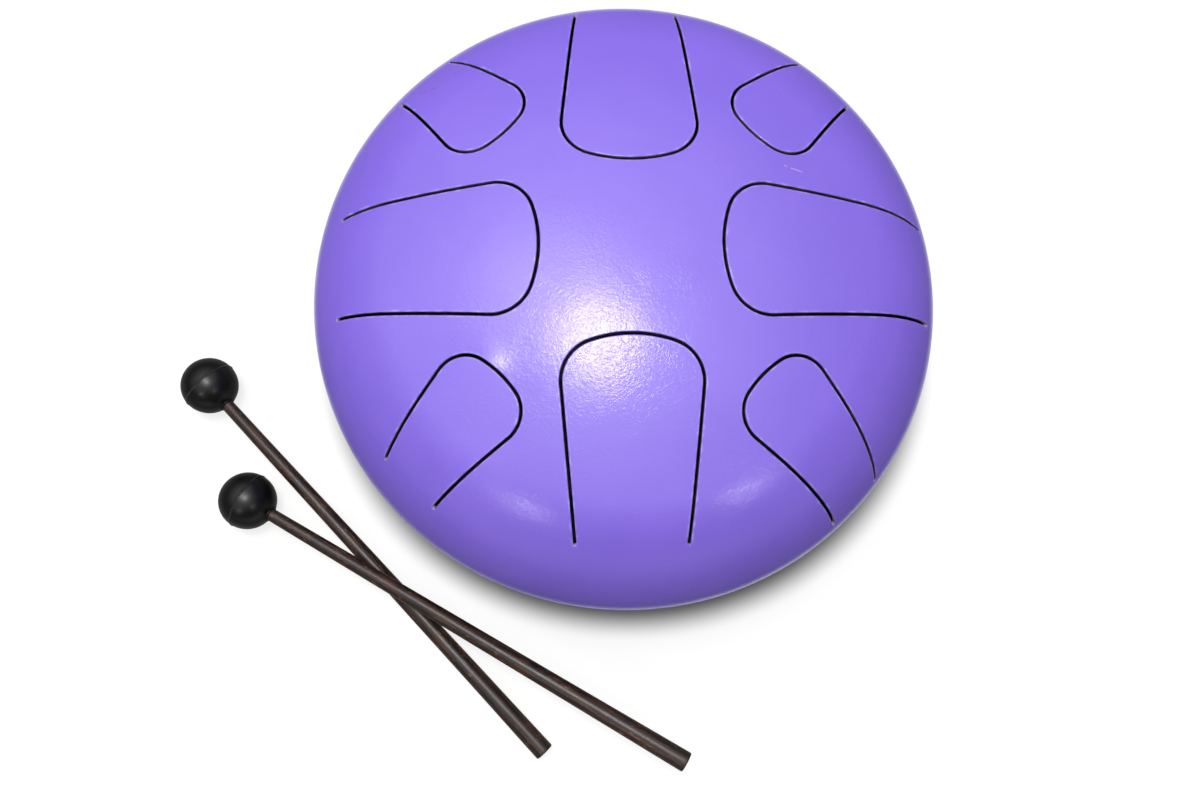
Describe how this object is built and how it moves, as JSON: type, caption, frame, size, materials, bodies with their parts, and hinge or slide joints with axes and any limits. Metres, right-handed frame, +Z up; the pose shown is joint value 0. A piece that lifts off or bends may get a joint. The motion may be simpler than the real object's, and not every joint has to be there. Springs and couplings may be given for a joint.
{
  "type": "steel tongue drum",
  "caption": "Lens-shaped welded steel drum with sprung cut tongues on top, a sound port and rubber feet below, and a pair of rubber-headed mallets.",
  "frame": {"origin": "point on the table under the drum's centre, level with the feet's lower faces", "axes": "+Z up along the drum's axis, +X along the first long tongue and +Y along the second"},
  "size_m": [0.3272, 0.3178, 0.138],
  "materials": {
    "shell_paint": "semi-gloss violet paint",
    "foot_rubber": "matt moulded rubber",
    "zinc_steel": "zinc plated",
    "dark_wood": "dark stained and varnished",
    "ball_rubber": "satin black rubber with a mould seam"
  },
  "bodies": {
    "drum": {"top_shell": "shell_paint", "bottom_shell": "shell_paint", "equator_weld": "shell_paint", "foot_1": "foot_rubber", "foot_2": "foot_rubber", "foot_3": "foot_rubber", "foot_4": "foot_rubber", "foot_washers": "zinc_steel", "foot_screws": "zinc_steel"},
    "long_tongue_1": {"long_tongue_1": "shell_paint"},
    "short_tongue_1": {"short_tongue_1": "shell_paint"},
    "long_tongue_2": {"long_tongue_2": "shell_paint"},
    "short_tongue_2": {"short_tongue_2": "shell_paint"},
    "long_tongue_3": {"long_tongue_3": "shell_paint"},
    "short_tongue_3": {"short_tongue_3": "shell_paint"},
    "long_tongue_4": {"long_tongue_4": "shell_paint"},
    "short_tongue_4": {"short_tongue_4": "shell_paint"},
    "lower_mallet": {"lower_mallet_stick": "dark_wood", "lower_mallet_head": "ball_rubber"},
    "upper_mallet": {"upper_mallet_stick": "dark_wood", "upper_mallet_head": "ball_rubber"}
  },
  "joints": [
    {"name": "long_tongue_1_flex", "type": "hinge", "parent": "drum", "child": "long_tongue_1", "pos_m": [0.11606, 0, 0.10292], "axis": [0, -1, 0], "range_deg": [-0.4, 0.4], "stiffness_Nm_per_rad": 24},
    {"name": "short_tongue_1_flex", "type": "hinge", "parent": "drum", "child": "short_tongue_1", "pos_m": [0.07991, 0.07991, 0.10669], "axis": [0.7071, -0.7071, 0], "range_deg": [-0.3, 0.3], "stiffness_Nm_per_rad": 5},
    {"name": "long_tongue_2_flex", "type": "hinge", "parent": "drum", "child": "long_tongue_2", "pos_m": [0, 0.10995, 0.10984], "axis": [1, 0, 0], "range_deg": [-0.4, 0.4], "stiffness_Nm_per_rad": 24},
    {"name": "short_tongue_2_flex", "type": "hinge", "parent": "drum", "child": "short_tongue_2", "pos_m": [-0.08032, 0.08032, 0.10601], "axis": [0.7071, 0.7071, 0], "range_deg": [-0.3, 0.3], "stiffness_Nm_per_rad": 5},
    {"name": "long_tongue_3_flex", "type": "hinge", "parent": "drum", "child": "long_tongue_3", "pos_m": [-0.10975, 0, 0.11003], "axis": [0, 1, 0], "range_deg": [-0.4, 0.4], "stiffness_Nm_per_rad": 24},
    {"name": "short_tongue_3_flex", "type": "hinge", "parent": "drum", "child": "short_tongue_3", "pos_m": [-0.08137, -0.08137, 0.10422], "axis": [-0.7071, 0.7071, 0], "range_deg": [-0.3, 0.3], "stiffness_Nm_per_rad": 5},
    {"name": "long_tongue_4_flex", "type": "hinge", "parent": "drum", "child": "long_tongue_4", "pos_m": [0, -0.10542, 0.11368], "axis": [-1, 0, 0], "range_deg": [-0.4, 0.4], "stiffness_Nm_per_rad": 24},
    {"name": "short_tongue_4_flex", "type": "hinge", "parent": "drum", "child": "short_tongue_4", "pos_m": [0.08659, -0.08659, 0.09141], "axis": [-0.7071, -0.7071, 0], "range_deg": [-0.3, 0.3], "stiffness_Nm_per_rad": 5},
    {"name": "lower_mallet_lift", "type": "slide", "parent": "drum", "child": "lower_mallet", "axis": [0, 0, 1], "range_m": [0, 0.15]},
    {"name": "upper_mallet_lift", "type": "slide", "parent": "lower_mallet", "child": "upper_mallet", "axis": [0, 0, 1], "range_m": [0, 0.15]}
  ]
}
